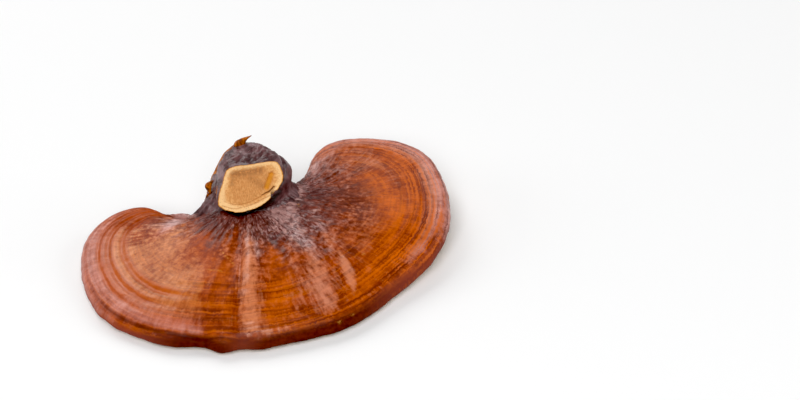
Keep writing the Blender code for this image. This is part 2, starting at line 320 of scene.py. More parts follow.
def stacked(*columns):
    """Values side by side, as places, whatever rows or columns they are spread along."""
    return np.stack(np.broadcast_arrays(*columns), axis=-1)


def roughly(places, size, octaves=3, shift=0):
    """Smooth uneven values between about -1 and 1 at each place, with features of that size."""
    at = places / np.array(size) + shift
    total = np.zeros(places.shape[:-1])
    for octave in range(octaves):
        cell = np.floor(at).astype(int)
        ease = smooth_step(at - cell, 0, 1)
        for corner in np.ndindex(2, 2, 2):
            weight = np.prod(np.where(corner, ease, 1 - ease), axis=-1)
            total += weight * CHANCE[tuple(np.moveaxis((cell + corner) % CHANCE_SIZE, -1, 0))] / 1.7**octave
        at = at * 2.03 + 5.2
    return total


around = 2 * math.pi * np.arange(SPOKES)[:, None] / SPOKES
window = np.hanning(SMOOTHED_SPOKES) / np.hanning(SMOOTHED_SPOKES).sum()
even_reach = np.convolve(np.tile(lines.reach[:, 0], 3), window, "same")[SPOKES:-SPOKES, None]
even_share = share * lines.reach / even_reach
growth = stacked(np.cos(around), np.sin(around), even_share)
ring_share = even_share + RING_WANDER * roughly(growth, (0.35, 0.35, 1.5), 2)
print("rings wander", span((ring_share - even_share) * even_reach))

# %% The furrows: share along the growth line, depth and width in mm
LEFT_INNER = [(0.640, 0.12, 1.2), (0.758, 0.85, 1.2), (0.790, 0.12, 0.9)]
LEFT_MIDDLE = [(0.838, 0.90, 1.1), (0.868, 0.12, 0.8)]
LEFT_OUTER = [(0.895, 0.75, 1), (0.945, 0.20, 0.8)]
RIGHT = [(0.560, 0.08, 2), (0.700, 0.08, 1.2), (0.790, 0.22, 1.2), (0.835, 0.14, 0.9), (0.868, 0.34, 1),
         (0.897, 0.22, 0.8), (0.925, 0.34, 0.8), (0.950, 0.26, 0.7), (0.973, 0.22, 0.6)]
FRONT = [(0.600, 0.12, 1.4), (0.700, 0.28, 1.8), (0.765, 0.12, 1.1), (0.830, 0.33, 1.5), (0.870, 0.16, 0.9),
         (0.900, 0.16, 0.8), (0.925, 0.22, 0.7), (0.950, 0.38, 0.9), (0.973, 0.20, 0.6)]
# Each set with its middle bearing, and the degrees off it at which it is full and gone.
SIDES = [(LEFT_INNER, 221, 17, 27), (LEFT_MIDDLE, 221, 9, 19), (LEFT_OUTER, 221, 8, 18),
         (RIGHT, 0, 27, 52), (FRONT, 273, 29, 50)]

furrow, ridge, glow = np.zeros((3,) + share.shape)
for furrows, towards, full, none in SIDES:
    strength = fade(lines.off(towards), full, none)
    for place, deep, wide in furrows:
        gap = (ring_share - place) * lines.reach
        furrow += strength * deep * bell(gap, 0, wide)
        ridge += strength * deep * bell(gap, 1.6 * wide, 1.3 * wide)
        glow += strength * deep * bell(gap, -wide, 1.7 * wide)
long_enough = smooth_step(lines.reach, 24, 52)
furrow *= long_enough * (1 + 0.45 * roughly(growth, (0.12, 0.12, 0.3), 2, 7))
ridge *= long_enough
glow *= long_enough
print("furrows", span(furrow), "deep")

# %% The folds that run out from the hub
# Bearing, height, width in degrees, share where highest.
BROAD_FOLDS = [(262, -1.2, 4.5, 0.45), (272, 1, 5, 0.55), (300, 0.9, 9, 0.45),
               (231, 0.8, 7, 0.40), (338, 1.2, 12, 0.35), (204, 0.9, 8, 0.35)]
# Bearing, height, width in degrees, shares of their start and end.
NARROW_FOLDS = [(265.2, -0.55, 0.9, 0.35, 0.97), (278, 0.25, 1.4, 0.4, 0.9), (288, -0.2, 1.2, 0.4, 0.9),
                (294, 0.3, 1.6, 0.45, 0.9), (306, -0.2, 1.3, 0.5, 0.9), (254, 0.2, 1.6, 0.45, 0.9)]
FOLD_LENGTH = 0.28
fold = np.zeros_like(share)
for bearing, tall, wide, place in BROAD_FOLDS:
    fold += tall * bell(lines.off(bearing), 0, wide) * bell(share, place, FOLD_LENGTH)
for bearing, tall, wide, start, end in NARROW_FOLDS:
    run = smooth_step(share, start, start + 0.1) * fade(share, end - 0.1, end)
    fold += tall * bell(lines.off(bearing), 0, wide) * run
fold *= fade(share, 0.85, 1)
print("folds", span(fold), "high")

# %% How far the dark stain reaches: heading from the hub in degrees, reach in mm
STAIN = np.array([(0, 41), (14, 43), (28, 44), (44, 41), (62, 31), (120, 24), (160, 26), (180, 33),
                  (195, 36), (207, 31), (220, 27), (240, 25), (257, 27), (268, 29), (281, 34), (291, 42),
                  (303, 45), (312, 46), (321, 45), (335, 43), (349, 40)], float)
from_hub = cap_form[:, :, :2] - HUB_CENTRE
heading = np.degrees(np.arctan2(from_hub[:, :, 1], from_hub[:, :, 0]))
stain_share = np.linalg.norm(from_hub, axis=2) / np.interp(heading, *STAIN.T, period=360)
near_stem = fade(stain_share, 0.55, 1.30)
print("the stain reaches", span(STAIN[:, 1]))

# %% Wrinkled skin, combed skin, roots, crumples, fibres and lumps: height in mm, then its pattern
folded = cap_form + 1.2 * roughly(cap_form, 6, 2, 4)[:, :, None]
combed_way = growth + 0.02 * roughly(cap_form, 4, 2, 6)[:, :, None]
UNEVENNESS = [
    (0.32 * near_stem, folded, 3.2, 3, 3),
    (0.30 * near_stem, combed_way, (0.05, 0.05, 0.11), 2, 21),
    (0.45 * near_stem**3, growth, (0.14, 0.14, 0.4), 2, 3),
    (0.05 + 0.18 * near_stem, cap_form, 1.6, 2, 11),
    (0.05 * smooth_step(share, 0.45, 0.8), growth, (0.024, 0.024, 0.055), 2, 5),
    (0.35, cap_form, 17, 2, 2),
]
uneven = sum(tall * roughly(*grain) for tall, *grain in UNEVENNESS)
print("unevenness", span(uneven), "high")

# %% The beaded groove above the front lip, and the small unevenness of the rim itself
in_front = fade(lines.off(285), 36, 50)
beads = roughly(growth, (0.020, 0.020, 0.5), 2, 9)
groove = 0.30 * fade(lines.off(262), 28, 36) + 0.55 * fade(lines.off(250), 16, 22)
groove = groove * np.clip(bell(ring_share, 0.970, 0.008) * (1 + 0.5 * beads), 0, 1)
nibbled = 0.28 * roughly(growth, (0.06, 0.06, 3), 3, 13) * bell(angle_round, math.pi / 2, 0.9)
relief = fold - 0.5 * furrow + 0.1 * ridge + uneven - 0.55 * groove
relief *= on_top * smooth_step(share, 0.10, 0.25)
relief += nibbled


def normals_of(grid):
    """The normal at each point of a grid of rings, outward where the rings spread from the top."""
    across = np.roll(grid, -1, axis=0) - np.roll(grid, 1, axis=0)
    onward = np.gradient(grid, axis=1)
    normal = np.cross(onward, across)
    return normal / np.maximum(np.linalg.norm(normal, axis=2, keepdims=True), 1e-9)


cap_skin = cap_form + normals_of(cap_form) * relief[:, :, None]
cap_skin[:, :, 2] = np.maximum(cap_skin[:, :, 2], 0)
print("cap", span(cap_skin, 3))

# %% [markdown]
# ## Where the crust changes colour
#
# The stain round the stem, the orange lines in the furrows, the dark lip and the pore side are found
# from the same shares and bearings, or lie where a real cap of this shape has them. The lip's darkness
# is partly its own colour and partly painted shade. The painted sheens and highlights, and the painted
# shade in the front groove and under the stem, are laid on the same way. They could be painted on an
# image, but then they would need an unwrapped surface. Here each is worked out on the mesh and kept
# with it, four to a colour attribute. The materials read them and add the fine detail.

# %% The stain round the stem, and its dark core
streaks = roughly(growth, (0.09, 0.09, 0.25), 3, 17)
patches = roughly(cap_form, 9, 3, 19)
stain = fade(stain_share + 0.16 * streaks + 0.14 * patches, 0.62, 1.22)
core = fade(stain_share + 0.08 * streaks + 0.10 * patches, 0.60, 0.92)


def cover(mask):
    """How much of the mesh's points a mask covers, as words."""
    return f"{np.mean(mask):.0%} of the points"


print("stain on", cover(stain), "and its core on", cover(core))


# %% Spots and ribbons
def most(*values):
    """The largest of several values at each place."""
    return np.maximum.reduce(np.broadcast_arrays(*values))


def spot(x, y, long, wide, turn=0):
    """A soft oval mark on the cap, seen from above."""
    c, s = math.cos(math.radians(turn)), math.sin(math.radians(turn))
    run, side = (cap_x - x) * c + (cap_y - y) * s, (cap_y - y) * c - (cap_x - x) * s
    return np.exp(-((run / long) ** 2) - (side / wide) ** 2)


def ribbon(points, soft=1.6, form=cap_form):
    """A soft-edged band on a form along a line of x, y and half width, seen from above."""
    places, points = form[:, :, :2], np.array(points, float)
    inside = np.zeros(places.shape[:2])
    for start, end in zip(points[:-1], points[1:]):
        run = end[:2] - start[:2]
        along = np.clip((places - start[:2]) @ run / (run @ run), 0, 1)
        gap = np.linalg.norm(places - start[:2] - along[..., None] * run, axis=2)
        inside = np.maximum(inside, fade(gap - start[2] - along * (end[2] - start[2]), -soft, soft))
    return inside


def ribbons(table):
    """The strongest at each place of many ribbons, given as strength, softness and points."""
    return most(*[strength * ribbon(points, soft) for strength, soft, points in table])


print("a spot of 20 mm is on", cover(spot(0, -20, 20, 20)))

# %% The left and right lobes, the amber bands and the lip
AMBER = [
    (1, 5, [(45, 27, 5), (54, 13, 6), (56, -3, 6), (51, -20, 7), (42, -34, 6), (26, -50, 5), (8, -50, 6)]),
    (1, 3, [(8, -14, 4), (10, -30, 5), (7, -46, 5)]),
    (1, 3, [(-13, -8, 5), (-14, -24, 6), (-14, -50, 5)]),
    (0.6, 7, [(-44, -4, 8), (-40, -20, 9), (-30, -8, 8)]),
    (0.8, 4, [(50, 46, 2), (58, 38, 4), (61, 28, 4), (62, 14, 4), (59, 0, 3)]),
]
orange_line = np.clip((np.maximum(furrow, 0.85 * glow) - 0.22) / 0.42, 0, 1) * (1 - 0.8 * in_front)
left_side = cap_x + 22 + 0.06 * cap_y + 2.5 * roughly(cap_form, 7, 3, 23)
left = fade(left_side, -4, 8)
right = fade(lines.off(356), 30, 52)
amber = ribbons(AMBER)
# The lip darkens as it turns down: partly the margin's own dark red, partly painted shade.
lip_start = 1.25 - 1.05 * fade(lines.off(283), 34, 56)
lip_shade = most(smooth_step(angle_round - lip_start, -0.2, 0.6) * (1 - 0.2 * right),
                 0.7 * fade(lines.off(285), 34, 46) * smooth_step(ring_share, 0.945, 0.99))
# Lighter lip at both ends and at the nose: a painted reflection.
lip_painted_reflection = fade(cap_x, -56, -26) + 0.5 * bell(cap_x, -6, 6) + 0.9 * smooth_step(cap_x, 34, 62)
print("amber on", cover(amber))

# %% The painted sheen: where broad sheens are painted into the crust's colour, and where it is polished
NOTCH_EDGE = [(14, 30, 1), (20, 33, 2), (24, 41, 2), (32, 49, 1)]
PAINTED_SHEENS = [
    (1.15, 4.5, [(-3, -2, 0.6), (-3.2, -10, 2.5), (-3, -27, 4), (-2.8, -39, 4.4), (-0.6, -62, 4.8)]),
    (1.1, 4.5, [(3.6, 12.3, 3), (7.5, 6, 5.5), (12, 1, 5.5), (16, -8, 3), (21, -17, 3), (25, -26, 1.5)]),
    (1.2, 3, [(19, 25, 1), (16.5, 20, 2.5), (13, 11, 3), (12.5, 3, 3)]),
    (1.5, 3.5, [(10, 7, 2.5), (15, 2.5, 2.5), (12.5, -6, 2.5)]),
    (0.8, 4, [(23, 3, 2), (26, -6, 3)]),
    (0.66, 4, [(-13, -9, 3), (-12, -16, 4)]),
    (0.6, 5, [(-25, -14, 3), (-22, -25, 4)]),
    (0.8, 4, [(62, 44, 2), (66, 34, 3), (68, 24, 3)]),
    (0.8, 5, [(25, -6, 2), (28, -10, 4)]),
    (1, 3, [(5.5, 3, 1), (7.5, -3, 3)]),
    (1.3, 3, [(-70, 6, 1), (-66, 13, 2), (-60, 17.5, 2), (-54, 20, 1)]),
    (0.8, 3.5, [(20, 31, 1), (24, 29.5, 3), (30, 24, 2)]),
    (0.6, 3.5, [(9.8, 1.5, 1.5), (12.7, -11.2, 1.8), (15.5, -23.7, 2), (20, -34, 2)]),
    (1.25, 6.5, [(21, -15, 0.8), (23.2, -24, 3.6), (24.2, -32, 5), (26.5, -40, 3.6)]),
    (0.7, 4, [(20, -36, 1.5), (24, -45, 2.5), (27, -52, 2)]),
    (1.5, 1.5, [(31.8, -16, 0.3), (33.6, -20.5, 1.4), (35.1, -25, 2.4), (36.2, -29, 1.9), (37.3, -35, 0.3)]),
    (0.9, 1.8, [(49, -31, 1), (52, -36, 2), (56, -38, 1)]),
    (0.65, 4, [(13, -19, 3), (15, -32, 3), (16, -44, 3)]),
    (0.9, 4, [(19, 34, 1.5), (21, 42, 3), (26, 49, 3.5), (38, 53, 3)]),
    (0.9, 3.5, [(-59, -29, 3), (-51, -37, 4), (-41, -42.6, 4), (-31, -46, 4), (-22, -48, 2)]),
    (1.4, 2.5, [(-40, 4, 1), (-36, 8, 3), (-31.5, 12.6, 3.5), (-26.7, 14, 3), (-23.6, 16, 1)]),
    (1.3, 6, NOTCH_EDGE),
]
# The left lobe's broad sheen, with a golden band along one ring: painted sheen.
sheet_edge = 6 * smooth_step(-cap_y, 12, 30) - 9
left_painted_sheen = (0.97 - 0.14 * smooth_step(ring_share, 0.80, 0.90)) * fade(left_side, sheet_edge, 3.5)
left_painted_sheen *= 1 - 0.35 * smooth_step(left_side, -16, -4)
golden_painted_sheen = 1.3 * bell(ring_share, 0.802, 0.018) * fade(lines.off(231), 4, 9)
outer_right_sheen = fade(lines.off(354), 28, 44) * smooth_step(ring_share, 0.84, 0.93)
painted_sheen = most(left_painted_sheen, golden_painted_sheen, ribbons(PAINTED_SHEENS), outer_right_sheen,
             0.5 * right * (1 - amber) * smooth_step(share, 0.3, 0.6),
             0.34 * in_front * (1 - amber) * (1 - left))
print("bloom on", cover(painted_sheen))

# %% Dusky places, and where the painted sheen is rosy: strength, then x, y and the size of a spot
DUSK = [(1, 34.5, 14, 11, 14), (0.6, 28, 0, 6, 5), (0.9, -48, 13.5, 12, 6, -10), (0.8, -46, 5, 8, 5),
        (0.8, -10, 1.5, 9, 5), (0.4, 35, 30, 7, 6)]
ROSY_SHEENS = [
    (1, 3, [(-40, 4, 1), (-36, 8, 3), (-31.5, 12.6, 3.5), (-24, 15, 2)]),
    (1, 6, NOTCH_EDGE),
    (0.7, 4, [(-71, 4, 1), (-67, 13, 2), (-60, 17, 1)]),
]
dusk = most(*[strength * spot(*place) for strength, *place in DUSK])
at_back = smooth_step(cap_y, 8, 22)
# Where the painted sheen is pinker.
rosy_sheen = most(left * (1 - at_back) * smooth_step(ring_share, 0.84, 0.97),
            outer_right_sheen * smooth_step(ring_share, 0.88, 0.97), ribbons(ROSY_SHEENS), 0.35 * spot(24, -35, 13, 16))
print("dusk on", cover(dusk), "and rose on", cover(rosy_sheen))

# %% Where the painted sheen fades, and painted highlights on the beads in front
front_lip = fade(lines.off(285), 46, 60) * smooth_step(ring_share, 0.93, 0.97)
painted_sheen *= 1 - 0.5 * left * at_back * bell(cap_x, -46, 11)
painted_sheen *= (1 - 0.85 * dusk) * (1 - 0.5 * amber) * (1 - 0.95 * front_lip)
# Painted highlights on the beads of the front groove and of the left rim.
bead_highlights = in_front * bell(ring_share, 0.948, 0.013) * smooth_step(beads, -0.1, 0.4) * (0.4 + bell(cap_x, 0, 11))
left_bead_highlights = bell(ring_share, 0.982, 0.006) * smooth_step(beads, -0.2, 0.4)
painted_sheen = most(painted_sheen, bead_highlights * (1 - left), 0.35 * left_bead_highlights * fade(lines.off(247), 12, 20))
painted_sheen *= 1 - 0.75 * smooth_step(angle_round, 0.8, 1.7) * smooth_step(cap_y, 5, 20)
front_lines = in_front * (1 - left) * smooth_step(ring_share, 0.88, 0.94)
print("bloom left on", cover(painted_sheen))

# %% The painted shadow in the gap under the stem's near side, the pale flecks and the pore side
PAINTED_SHADOW_PATH = [(-14.5, 9.8, 0.5), (-11, 7.6, 1.2), (-7.4, 6.4, 1.7), (-3, 7.6, 1.9), (1.6, 10.2, 1.9),
            (4.8, 13.2, 1.7), (7.5, 17.3, 1.1), (9.5, 20.5, 0.4)]
FLECKS = [[(61.8, -29.9), (62.3, -29.2)], [(55, -37.9), (55.7, -37.1)], [(35.2, -42.9), (36.2, -42.2)],
          [(30.6, -45.8), (31.6, -45.2)], [(-19.6, -54.6), (-18.8, -54.9)], [(-6.2, -56), (-5.4, -56)],
          [(-13.9, -13), (-11.4, -17), (-9, -20.2)], [(-19.4, -21.6), (-16.5, -22.4), (-13.6, -23.3)],
          [(16, 9), (16.4, 7.6)], [(15, 7), (15.2, 6.2)], [(41, -17), (41.3, -16.4)],
          [(48.2, 22), (48.5, 21)]]
# A painted shadow on the cap in the gap under the stem's near side.
painted_undercut_shadow = ribbon(PAINTED_SHADOW_PATH, 1) * on_top
fleck = most(*[ribbon([(x, y, 0.05) for x, y in points], 0.45) for points in FLECKS]) * on_top
pore_side = smooth_step(angle_round, 2.3, 2.9)
print(len(FLECKS), "flecks")


# %% Drawing a grid out to the rings
CENTRE = np.array([2.22, 0.94, 0])


def drawn_shell(name, grid, vectors, marks):
    """A grid whose rows take the rings, in metres, closed along its seam and at both ends."""
    spokes, rings = grid.shape[:2]
    shell = bmesh.new()
    bmesh.ops.create_grid(shell, x_segments=spokes, y_segments=rings - 1, size=1.0)
    mesh = bpy.data.meshes.new(name)
    shell.to_mesh(mesh)
    flat = np.empty(len(mesh.vertices) * 3)
    mesh.vertices.foreach_get("co", flat)
    across_and_up = (flat.reshape(-1, 3)[:, :2] + 1) / 2 * (spokes, rings - 1)
    column, row = np.rint(across_and_up).astype(int).T
    at = (column % spokes, row)
    mesh.vertices.foreach_set("co", ((grid[at] - CENTRE) / 1000).ravel())
    for field, values in vectors.items():
        mesh.attributes.new(field, "FLOAT_VECTOR", "POINT").data.foreach_set("vector", values[at].ravel())
    for field, channels in marks.items():
        values = np.zeros((len(row), 4))
        for place, channel in enumerate(channels):
            values[:, place] = np.broadcast_to(channel, (spokes, rings))[at]
        mesh.attributes.new(field, "FLOAT_COLOR", "POINT").data.foreach_set("color", values.ravel())
    shell.clear()
    shell.from_mesh(mesh)
    shell.verts.ensure_lookup_table()
    wide = spokes + 1
    seam = {shell.verts[r * wide + spokes]: shell.verts[r * wide] for r in range(rings)}
    bmesh.ops.weld_verts(shell, targetmap=seam)
    ends = [edge for edge in shell.edges if edge.is_boundary]
    filled = bmesh.ops.holes_fill(shell, edges=ends, sides=0)["faces"]
    bmesh.ops.poke(shell, faces=filled)
    bmesh.ops.recalc_face_normals(shell, faces=shell.faces)
    shell.to_mesh(mesh)
    shell.free()
    mesh.shade_smooth()
    return mesh


cap_mesh = drawn_shell("reishi_cap", cap_skin, {"growth": growth}, {
    "crust": (stain, core, orange_line, pore_side),
    "sides": (left, right, amber, lip_shade),
    "marks": (painted_sheen, groove, fleck, painted_undercut_shadow),
    "tones": (dusk, rosy_sheen, lip_painted_reflection, front_lines),
})
print("cap", len(cap_mesh.vertices), "points,", len(cap_mesh.polygons), "faces")

# %% [markdown]
# ## The stem
#
# The stem is a short knob whose sections turn forward as they go up, like the segments of an orange,
# so they all turn about one line on the near side. Its foot has to look grown onto the cap. So the
# lowest ring is pushed out onto the cap's top, found by casting rays down, and a curve runs from
# there up into the knob.

# %% The stem's sections: tilt, turning line's y and z, reach left and right, near and far edges
STEM_SECTIONS = np.array([
    (0, 6.5, 20.3, -20, 13.6, 1.2, 22.6),
    (15, 5.8, 20.8, -19.3, 12.6, 1.4, 25),
    (32, 5, 21.3, -17.3, 12.3, 0.8, 28),
    (48, 4.6, 21.9, -16.2, 10.8, 0.3, 27.3),
    (60, 4.4, 22.3, -15.8, 11.3, 0, 23.8),
    (68, 4.4, 22.5, -15, 11.3, 0, 20),
], float)
CUT_OUTLINE = np.array([
    (11.3, 13), (10.6, 17.6), (8.4, 20), (2, 19.6), (-5, 19.1), (-10.2, 17.8), (-12.6, 13),
    (-14.8, 6.6), (-14.4, 2.3), (-9, 0), (-3, 0.3), (3.4, 3.1), (8.6, 8.2),
], float)
CUT_SHAPE_START = 0.3
# Degrees round the stem, share of the way up, height in mm, width in degrees, length as a share.
STEM_LUMPS = [(18, 0.36, 2.2, 26, 0.16), (52, 0.54, -1.5, 12, 0.12), (75, 0.66, 1.3, 20, 0.14),
              (108, 0.45, 0.8, 24, 0.16), (150, 0.75, 0.7, 20, 0.20), (188, 0.30, 1, 22, 0.22),
              (215, 0.12, 0.8, 30, 0.16), (345, 0.14, 0.8, 24, 0.16)]
STEM_MEAN_RADIUS = 14
STEM_SPOKES = 384

print(len(STEM_SECTIONS), "sections,", len(STEM_LUMPS), "lumps,", len(CUT_OUTLINE), "places round the cut")

# %% The stem's shape between its sections
turn = 2 * math.pi * np.arange(STEM_SPOKES) / STEM_SPOKES
oval = np.stack([np.cos(turn), np.sin(turn)], axis=1)
outline = closed_curve(CUT_OUTLINE)
lowest, highest = outline.min(axis=0), outline.max(axis=0)
squared = (2 * outline - lowest - highest) / (highest - lowest)
facing = np.arctan2(squared[:, 1], squared[:, 0])
cut_shape = np.stack([np.interp(turn, facing, column, period=2 * math.pi) for column in squared.T], axis=1)
ragged = 0.016 * roughly(stacked(*(oval * STEM_MEAN_RADIUS).T, 0), 1.7, 3, 12)


def off_turn(middle):
    """How far each place round the stem is from middle, in degrees."""
    return np.abs((np.degrees(turn) - middle + 180) % 360 - 180)


def curve_at(rows, along):
    """A smooth curve through rows: its row at a share of the way, and the slope of the row before."""
    slopes = np.gradient(rows, axis=0)
    at = along * (len(rows) - 1)
    first = min(int(at), len(rows) - 2)
    return between(rows[first], rows[first + 1], slopes[first], slopes[first + 1], at - first), slopes[first]


def stem_section(along):
    """One section of the stem as xyz points, at a share of the way from its foot to the cut."""
    tilt, line_y, line_z, left, right, near, far = curve_at(STEM_SECTIONS, along)[0]
    swell = np.zeros(STEM_SPOKES)
    for towards, place, tall, wide, long in STEM_LUMPS:
        swell += tall / STEM_MEAN_RADIUS * bell(off_turn(towards), 0, wide) * bell(along, place, long)
    shape = oval + (cut_shape - oval) * smooth_step(along, CUT_SHAPE_START, 1)
    shape = shape * (1 + swell * fade(along, 0.85, 1) + ragged * smooth_step(along, 0.92, 1))[:, None]
    across = (left + right + shape[:, 0] * (right - left)) / 2
    up = (near + far + shape[:, 1] * (far - near)) / 2
    tilt = math.radians(tilt)
    return np.column_stack([across, line_y + up * math.cos(tilt), line_z + up * math.sin(tilt)])


print("cut outline", span(outline, 2))

# %% The foot, run out onto the cap
FOOT_TOP = 0.20
FOOT_ROWS = 26
SIDE_ROWS = 108
# Degrees round the stem, how much further the foot runs out there in mm, and over how many degrees.
FOOT_TOES = [(192, 9.5, 32), (350, 3, 40), (28, 3, 24)]
FOOT_LEAST = 1.2
FOOT_SINK = 0.6
FOOT_MARGIN = 0.3
FOOT_BACK_STEP = 0.4
FOOT_BACK_MOST = 6
NEIGHBOURS = range(-4, 5)
cap_shell = bmesh.new()
cap_shell.from_mesh(cap_mesh)
cap_tree = BVHTree.FromBMesh(cap_shell)
cap_shell.free()


def cap_top(x, y):
    """The cap's height under a place, or None beside the cap."""
    start = (Vector((x, y, 60)) - Vector(CENTRE)) / 1000
    hit = cap_tree.ray_cast(start, Vector((0, 0, -1)))[0]
    return None if hit is None else hit.z * 1000


def foot_ring():
    """The lowest ring: the first section pushed out, and let down onto the cap."""
    base = stem_section(0)[:, :2]
    out = base - base.mean(axis=0)
    out /= np.linalg.norm(out, axis=1, keepdims=True)
    spread = np.full(STEM_SPOKES, FOOT_LEAST)
    for towards, far, wide in FOOT_TOES:
        spread += far * bell(off_turn(towards), 0, wide)
    spread += 0.9 * roughly(stacked(*(oval * 9).T, 4), 1, 2)
    for place, point in enumerate(base):
        while cap_top(*(point + out[place] * (spread[place] + FOOT_MARGIN))) is None:
            if spread[place] <= -FOOT_BACK_MOST:
                break
            spread[place] -= FOOT_BACK_STEP
    lowest = np.min([np.roll(spread, by) for by in NEIGHBOURS], axis=0)
    spread = np.mean([np.roll(lowest, by) for by in NEIGHBOURS], axis=0)
    ring = base + out * spread[:, None]
    return np.column_stack([ring, [cap_top(x, y) - FOOT_SINK for x, y in ring]])


foot = foot_ring()
first = stem_section(FOOT_TOP)
onward = (stem_section(FOOT_TOP + 0.02) - first) / 0.02 * FOOT_TOP
inwards = (first - foot) * np.array([1.1, 1.1, 0.15])
rows = [between(foot, first, inwards, onward, f) for f in np.linspace(0, 1, FOOT_ROWS, endpoint=False)]
rows += [stem_section(along) for along in np.linspace(FOOT_TOP, 1, SIDE_ROWS)]
print("foot", span(foot, 3))

# %% [markdown]
# ## The saw cut
#
# The cut shows the stem's corky flesh. It could be a face of its own, but its rings run in from the
# edge to the middle, so the stem's own grid covers it: the rows after the last section shrink
# towards one point. Its relief is what the saw and the drying left: a shallow dish, an oblong pit,
# thin layers along the lower edge, and a ledge there that broke off at the right.

# %% The cut's rings
FACE_ROWS = 88
FACE_CROWDING = 1.25
edge = rows[-1]
shrink = 1 - (np.arange(1, FACE_ROWS + 1) / (FACE_ROWS + 1)) ** FACE_CROWDING
rows += [edge.mean(axis=0) + (edge - edge.mean(axis=0)) * part for part in shrink]
stem_form = np.stack(rows, axis=1)
foot_share = FOOT_TOP * np.arange(FOOT_ROWS) / FOOT_ROWS
along_stem = np.hstack([foot_share, np.linspace(FOOT_TOP, 1, SIDE_ROWS), np.ones(FACE_ROWS)])[None, :]
from_heart = np.hstack([np.ones(FOOT_ROWS + SIDE_ROWS), shrink])[None, :]
on_cut = np.repeat([0, 1], [FOOT_ROWS + SIDE_ROWS, FACE_ROWS])[None, :]

tilt, line_y, line_z = STEM_SECTIONS[-1, :3]
tilt = math.radians(tilt)
cut_x = stem_form[:, :, 0]
cut_h = (stem_form - (0, line_y, line_z)) @ (0, math.cos(tilt), math.sin(tilt))
print("stem", stem_form.shape[1], "rings of", STEM_SPOKES, "points")


# %% The cut's relief, on paths of x and height up the cut in mm
def path_gap(x, h, path):
    """How far each place is from a path of short lines, in mm."""
    gaps = []
    for start, end in zip(np.array(path[:-1]), np.array(path[1:])):
        run, places = end - start, stacked(x, h) - start
        nearest = np.clip(places @ run / (run @ run), 0, 1)
        gaps.append(np.linalg.norm(places - nearest[..., None] * run, axis=-1))
    return np.min(gaps, axis=0)


def cut_gap(*path):
    """How far each place of the cut is from a path on it, in mm."""
    return path_gap(cut_x, cut_h, path)


OUTER_LAYER = [(-13.6, 2.9), (-10.6, 1.8), (-7.7, 1.4), (-3.8, 2.1), (0.1, 3.3), (3.2, 5), (5.4, 6)]
INNER_LAYER = [(-12.3, 4.4), (-9, 3), (-6, 2.9), (-2.2, 3.8), (1.4, 5.5), (4.3, 7), (6.6, 8.6)]
CRACK = [(2.2, 6.2), (4.3, 7.3), (5.4, 7.5), (7.4, 9.4)]
pit = fade(cut_gap((6.7, 14.4), (4.5, 9.2)), 0.3, 1.5)
# Darker brown patches, mostly along the top of the cut.
darker_patches = most(bell(cut_gap((-8.5, 15.6), (2.5, 16.6)), 0, 1.9),
              0.7 * bell(cut_gap((-9, 11.5), (-8.2, 15.6)), 0, 1),
              0.6 * bell(cut_gap((-1.5, 13.6), (3.2, 10)), 0, 1.6))
layers = most(bell(cut_gap(*OUTER_LAYER), 0, 0.22), 0.8 * bell(cut_gap(*INNER_LAYER), 0, 0.22))
crack = bell(cut_gap(*CRACK), 0, 0.14 + 0.20 * smooth_step(cut_x, 3, 6.5))
broken = smooth_step(cut_x, 5.7, 6.2) * fade(cut_h, 6.2, 8.6) * smooth_step(from_heart, 0.84, 0.87)
lower_side = smooth_step(-(cut_h - 5.5 - 0.25 * (cut_x + 4)), 0, 4) * smooth_step(-cut_x, -6.5, -5.5)
below_crack = smooth_step(cut_gap(*INNER_LAYER), 0.2, 0.6) * lower_side * smooth_step(from_heart, 0.84, 0.90)
dish = 0.55 * (1 - from_heart**3)
cut_relief = 0.35 * below_crack - dish - 0.9 * pit - 0.30 * layers - 0.7 * crack - 1.3 * broken
cut_relief += 0.14 * roughly(stem_form, 2.4, 4, 5)
cut_relief *= 1 - smooth_step(from_heart, 0.985, 1) * (1 - broken)
print("the cut's relief", span(cut_relief * on_cut))

# %% The skin's wrinkles
MM_PER_DEGREE = 0.24
STEM_LENGTH = 30
CHANNEL = [(13, 14.4), (10.8, 15.4), (4.8, 17.4), (0.5, 17.6), (-3.5, 18.4)]
stem_way = stacked(np.cos(turn)[:, None], np.sin(turn)[:, None], along_stem)
ridged = 1 - 2 * np.abs(roughly(stem_form + 1.5 * roughly(stem_form, 5, 2)[:, :, None], 3.4, 3, 8))
gathers = roughly(stem_way, (0.07, 0.07, 1.2), 3, 6) * fade(along_stem, 0.10, 0.30)
skin_relief = 0.16 * (ridged - 0.6) + 0.30 * gathers + 0.50 * roughly(stem_form, 6.5, 2, 1)
skin_x = MM_PER_DEGREE * ((np.degrees(turn)[:, None] + 180) % 360 - 180)
skin_h = STEM_LENGTH * along_stem
channel = path_gap(skin_x, skin_h, CHANNEL)
skin_relief -= 2 * bell(channel, 0, 1.6)


def towards_turn(middle, wide):
    """1 on one side of the stem, and fading away round it over so many degrees."""
    return bell(off_turn(middle), 0, wide)[:, None]


skin_relief += 0.22 * (ridged - 0.6) * towards_turn(92, 40) * smooth_step(along_stem, 0.45, 0.65)
skin_relief *= fade(along_stem, 0.93, 1) * smooth_step(along_stem, 0, 0.03)
stem_facing = -normals_of(stem_form)
stem_skin = stem_form + (on_cut * cut_relief)[:, :, None] * np.array([0, -math.sin(tilt), math.cos(tilt)])
stem_skin += stem_facing * ((1 - on_cut) * skin_relief)[:, :, None]
print("the skin's relief", span(skin_relief))

